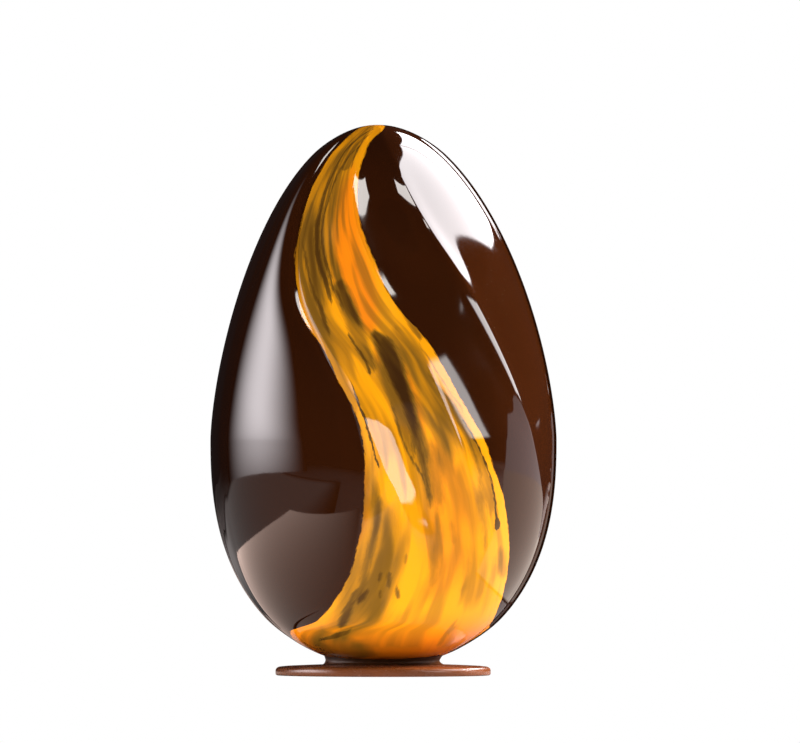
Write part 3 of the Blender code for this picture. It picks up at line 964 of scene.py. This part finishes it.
class EGG_OT_disc(bpy.types.Operator):
    """Make the poured disc with its slightly wandering rim."""

    bl_idname = "egg.disc"
    bl_label = "Poured disc"

    def execute(self, context):
        shape = context.scene.egg_shape
        radius = DISC_BOX[1].x

        def profile(sweep, level):
            share, height = level
            rim = share * (radius + shape.disc_wave * (wander(sweep, RIM_SEED) * share**4 - RIM_INSET))
            lift = DISC_LIFT * wander(sweep, LIFT_SEED) * share**6 if height > FLAT_BELOW else 0.0
            return rim, height + lift

        rings = turned_rings(disc_profile(), DISC_STEPS, profile)
        colour = context.scene.egg_colours.milk_chocolate
        material = poured_chocolate("milk_chocolate", colour, (0.2, 0.3), 0.42, 2.0, 0.0003)
        put_in_place(ring_mesh("poured_disc", rings, material), "base_disc")
        return {"FINISHED"}


# The studio: its middle and the paper's half width in metres, steps across a panel, and the camera's lens
# and sensor in millimetres.
STUDIO_MIDDLE = Vector((0, 0, 0.1))
PAPER_REACH = 1.5
PANEL_STEPS = 12
LENS = 800
SENSOR = 36

# Glowing panels a metre from the middle: corners as bearing and elevation, strength, edge fades, colour and
# slant.
SOFTBOXES = (
    (
        "overhead_softbox", ((88, 46), (133, 24.5), (148, 63), (70, 74)),
        15, (0.02, 0.02), (1, 0.96, 0.98), 0.9,
    ),
    (
        "overhead_corner", ((133, 24.5), (161, 16.5), (174, 42), (148, 63)),
        13.5, (0.01, 0.01), (1, 0.96, 0.98),
    ),
    ("crest_softbox", ((-4, 62), (56, 59.5), (58, 70), (-4, 72)), 15, (0.03, 0.06), (1, 0.95, 0.91)),
    ("crest_sparkle", ((50, 50), (66, 50.5), (68, 54), (54, 54.5)), 15, (0.1, 0.1), (1, 0.95, 0.88)),
    ("strip_softbox", ((66, 0.3), (83, 1.5), (54.5, 27.6), (40, 26)), 7.8, (0.13, 0.07), (1, 0.97, 0.96)),
    ("ridge_strip", ((103, 8), (122, 8), (108, 29), (64, 29)), 11, (0.12, 0.05), (1, 0.97, 0.97)),
    ("left_softbox", ((-124, -14), (-34, -14), (-52, 40), (-119, 52)), 11.8, (0.5, 0.4), (1, 0.94, 0.97)),
    ("right_card", ((94, -6), (141, -6), (140, 4), (98, 8)), 1.1, (0.01, 0.01), (1, 0.95, 0.99)),
)

# Bright cards just over the paper, that show only in the egg's reflections: corners and height in metres,
# strength, edge fade, colour, slant.
FLOOR_CARDS = (
    (
        "left_floor_card", ((-0.19, 0.12), (-0.04, 0.10), (0.06, -0.25), (-0.205, -0.17)),
        0.0004, 3.6, 0.004, (1, 0.74, 0.64), 0.02,
    ),
    (
        "left_floor_glow", ((-1.3, 0.6), (-0.05, 0.4), (-0.05, -0.6), (-1.3, -0.5)),
        0.0002, 0.45, 0.11, (1, 0.9, 0.88),
    ),
    (
        "right_floor_card", ((0.03, 0.4), (1.0, 1.0), (1.0, 0.06), (0.085, -0.035)),
        0.0004, 1.3, 0.004, (1, 0.86, 0.76),
    ),
)

# Lamps that light the colours and stay out of the reflections: bearing, elevation, distance, size, power
# and colour.
LAMPS = (
    ("panel_lamp", 128, 28, 1.2, 0.5, 190, (1, 0.95, 0.9)),
    ("front_lamp", -12, 32, 1.2, 0.8, 15, (1, 0.97, 0.93)),
)


def heading(bearing, elevation):
    """Unit vector towards a bearing and an elevation, in degrees."""
    turn, rise = math.radians(bearing), math.radians(elevation)
    return Vector((math.sin(turn) * math.cos(rise), -math.cos(turn) * math.cos(rise), math.sin(rise)))


def place_in_studio(name, mesh):
    """Adds a piece of the stage that only reflections see."""
    piece = bpy.data.objects.new(name, mesh)
    bpy.context.scene.collection.objects.link(piece)
    piece.visible_camera = False
    piece.visible_diffuse = False


def glowing_panel(name, corners, settle, strength, fade, colour, slant=1.0):
    """A one-sided panel over four corners, dimmer towards its edges. Settle turns a place into a point."""
    marks = [step / PANEL_STEPS for step in range(PANEL_STEPS + 1)]
    shares = [(u, v) for v in marks for u in marks]
    corners = [Vector(corner) for corner in corners]
    places = []
    for u, v in shares:
        near, far = corners[0].lerp(corners[1], u), corners[3].lerp(corners[2], u)
        places.append(settle(near.lerp(far, v)))
    row = PANEL_STEPS + 1
    firsts = [step * row + column for step in range(PANEL_STEPS) for column in range(PANEL_STEPS)]
    mesh = bpy.data.meshes.new(name)
    mesh.from_pydata(places, [], [(first, first + row, first + row + 1, first + 1) for first in firsts])
    layer = mesh.uv_layers.new(name="UVMap")
    for loop in mesh.loops:
        layer.data[loop.index].uv = shares[loop.vertex_index]
    material = bpy.data.materials.new(name)
    material.use_nodes = True
    material.node_tree.nodes.clear()
    bench = Bench(material.node_tree)
    split = bench.add("ShaderNodeSeparateXYZ", {0: bench.add("ShaderNodeUVMap")}).outputs
    inward = [bench.sum("PINGPONG", split[axis], 0.5) for axis in (0, 1)]
    edges = [bench.ease(inward[axis], 0.0, fade[axis]) for axis in (0, 1)]
    side = bench.sum("MULTIPLY_ADD", split[0], slant - 1.0, 1.0)
    back = bench.add("ShaderNodeNewGeometry").outputs["Backfacing"]
    front = bench.sum("MULTIPLY_ADD", back, -1.0, 1.0)
    lit = bench.times(*edges, strength, side, front)
    glow = bench.add("ShaderNodeEmission", {"Color": (*colour, 1), "Strength": lit})
    bench.add("ShaderNodeOutputMaterial", {"Surface": glow})
    mesh.materials.append(material)
    place_in_studio(name, mesh)


def softbox(name, corners, *look):
    glowing_panel(name, corners, lambda aim: STUDIO_MIDDLE + heading(*aim), *look)


def floor_card(name, corners, height, strength, fade, *look):
    glowing_panel(name, corners, lambda spot: (*spot, height), strength, (fade, fade), *look)


def lamp(name, bearing, elevation, distance, size, power, colour):
    """A soft square lamp that points at the middle of the egg."""
    data = bpy.data.lights.new(name, "AREA")
    data.size = size
    data.energy = power
    data.color = colour
    light = bpy.data.objects.new(name, data)
    bpy.context.scene.collection.objects.link(light)
    way = heading(bearing, elevation)
    light.location = STUDIO_MIDDLE + way * distance
    light.rotation_euler = way.to_track_quat("Z", "Y").to_euler()
    light.visible_glossy = False


def set_camera(scene):
    data = bpy.data.cameras.new("camera")
    data.lens = LENS
    data.sensor_width = SENSOR
    camera = bpy.data.objects.new("camera", data)
    scene.collection.objects.link(camera)
    distance = PHOTO_SIZE[0] / PIXELS_PER_METRE * LENS / SENSOR
    right = Vector((math.cos(VIEW_TURN), math.sin(VIEW_TURN), 0))
    back = Vector((math.sin(VIEW_TURN), -math.cos(VIEW_TURN), 0))
    camera.location = right * FRAME_CENTRE[0] + Vector((0, 0, FRAME_CENTRE[1])) + back * distance
    camera.rotation_euler = (math.pi / 2, 0, VIEW_TURN)
    scene.camera = camera


def set_world(scene):
    """White paper to the camera, and a dim room to everything else."""
    world = bpy.data.worlds.new("studio")
    scene.world = world
    world.use_nodes = True
    world.node_tree.nodes.clear()
    bench = Bench(world.node_tree)
    seen = bench.add("ShaderNodeLightPath").outputs["Is Camera Ray"]
    room = bench.add("ShaderNodeBackground", {"Color": (0.30, 0.26, 0.27, 1), "Strength": 0.05})
    paper = bench.add("ShaderNodeBackground", {"Color": (1, 1, 1, 1)})
    either = bench.add("ShaderNodeMixShader", {0: seen, 1: room, 2: paper})
    bench.add("ShaderNodeOutputWorld", {"Surface": either})


def lay_floor():
    """Pale paper that the camera sees as white."""
    mesh = bpy.data.meshes.new("floor")
    signs = ((-1, -1), (1, -1), (1, 1), (-1, 1))
    mesh.from_pydata([(PAPER_REACH * x, PAPER_REACH * y, 0) for x, y in signs], [], [(0, 1, 2, 3)])
    material, bench, shader = fresh_material("floor_paper")
    shader.inputs["Base Color"].default_value = (0.07, 0.06, 0.06, 1)
    shader.inputs["Roughness"].default_value = 0.6
    path = bench.add("ShaderNodeLightPath")
    bounced = path.outputs["Is Diffuse Ray"]
    seen = bench.sum("MAXIMUM", path.outputs["Is Camera Ray"], bounced)
    white = bench.add("ShaderNodeEmission", {"Strength": bench.sum("MULTIPLY_ADD", bounced, 1.6, 1.0)})
    either = bench.add("ShaderNodeMixShader", {0: seen, 1: shader, 2: white})
    bench.set(material.node_tree.nodes["Material Output"].inputs["Surface"], either)
    mesh.materials.append(material)
    floor = bpy.data.objects.new("floor", mesh)
    bpy.context.scene.collection.objects.link(floor)


class EGG_OT_studio(bpy.types.Operator):
    """Set up the camera, the paper floor and the soft lights."""

    bl_idname = "egg.studio"
    bl_label = "Studio"

    def execute(self, context):
        set_camera(context.scene)
        context.scene.view_settings.view_transform = "Standard"
        set_world(context.scene)
        lay_floor()
        for box in SOFTBOXES:
            softbox(*box)
        for card in FLOOR_CARDS:
            floor_card(*card)
        for each in LAMPS:
            lamp(*each)
        return {"FINISHED"}


class EGG_PT_panel(bpy.types.Panel):
    """Sizes, colours and steps of the chocolate egg."""

    bl_idname = "EGG_PT_panel"
    bl_label = "Chocolate Egg"
    bl_space_type = "VIEW_3D"
    bl_region_type = "UI"
    bl_category = "Chocolate Egg"

    def draw(self, context):
        layout = self.layout
        for group in (context.scene.egg_shape, context.scene.egg_colours):
            column = layout.column(align=True)
            for name in group.__annotations__:
                column.prop(group, name)
        for operator in (EGG_OT_studio, EGG_OT_shells, EGG_OT_foot, EGG_OT_disc):
            layout.operator(operator.bl_idname)


CLASSES = (EggShape, EggColours, EGG_OT_studio, EGG_OT_shells, EGG_OT_foot, EGG_OT_disc, EGG_PT_panel)


def register():
    for cls in CLASSES:
        bpy.utils.register_class(cls)
    bpy.types.Scene.egg_shape = PointerProperty(type=EggShape)
    bpy.types.Scene.egg_colours = PointerProperty(type=EggColours)


def unregister():
    del bpy.types.Scene.egg_colours
    del bpy.types.Scene.egg_shape
    for cls in reversed(CLASSES):
        bpy.utils.unregister_class(cls)


def main():
    register()
    bpy.ops.egg.studio()
    bpy.ops.egg.shells()
    bpy.ops.egg.foot()
    bpy.ops.egg.disc()


if __name__ == "__main__":
    main()
